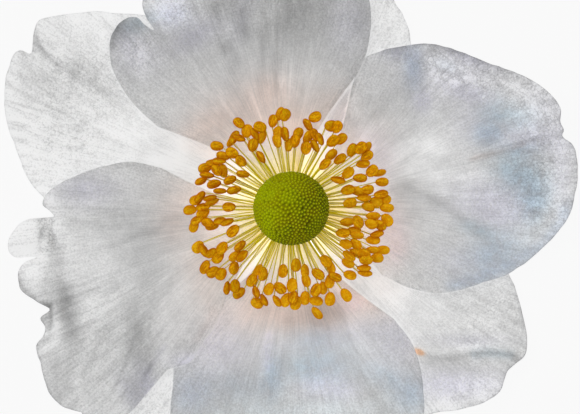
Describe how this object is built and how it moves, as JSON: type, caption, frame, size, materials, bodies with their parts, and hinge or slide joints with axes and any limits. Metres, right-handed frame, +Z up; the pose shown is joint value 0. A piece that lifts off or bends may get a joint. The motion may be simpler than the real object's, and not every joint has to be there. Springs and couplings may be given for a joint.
{
  "type": "anemone flower",
  "caption": "Wide-open white anemone flower with broad overlapping tepals, a ring of orange stamens and a green ball of carpels, cut off under the bloom and lying face up.",
  "frame": {"origin": "on the surface that the flower lies on, under the middle of its box and on the flower's own axis", "axes": "+Z up along the flower's axis, out of its face; +Y towards the top of the picture, +X to its right"},
  "size_m": [0.0704, 0.0668, 0.0129],
  "materials": {
    "tepal_front": "soft white petal tissue with a silky sheen, bluish towards the tips and faintly pink at the feet",
    "tepal_back": "thin white petal tissue, paler than the front tepals",
    "stalk": "smooth green plant tissue",
    "stamens": "matt orange-yellow anthers on pale yellow-green filaments",
    "carpels": "moist green, each carpel with a small glossy tip"
  },
  "bodies": {
    "root": {"tepal_front_top": "tepal_front", "tepal_front_right": "tepal_front", "tepal_front_bottom": "tepal_front", "tepal_front_left": "tepal_front", "tepal_back_upper_right": "tepal_back", "tepal_back_upper_left": "tepal_back", "tepal_back_lower_left": "tepal_back", "tepal_back_lower_right": "tepal_back", "receptacle": "stalk", "stamens": "stamens", "carpels": "carpels"}
  },
  "joints": []
}
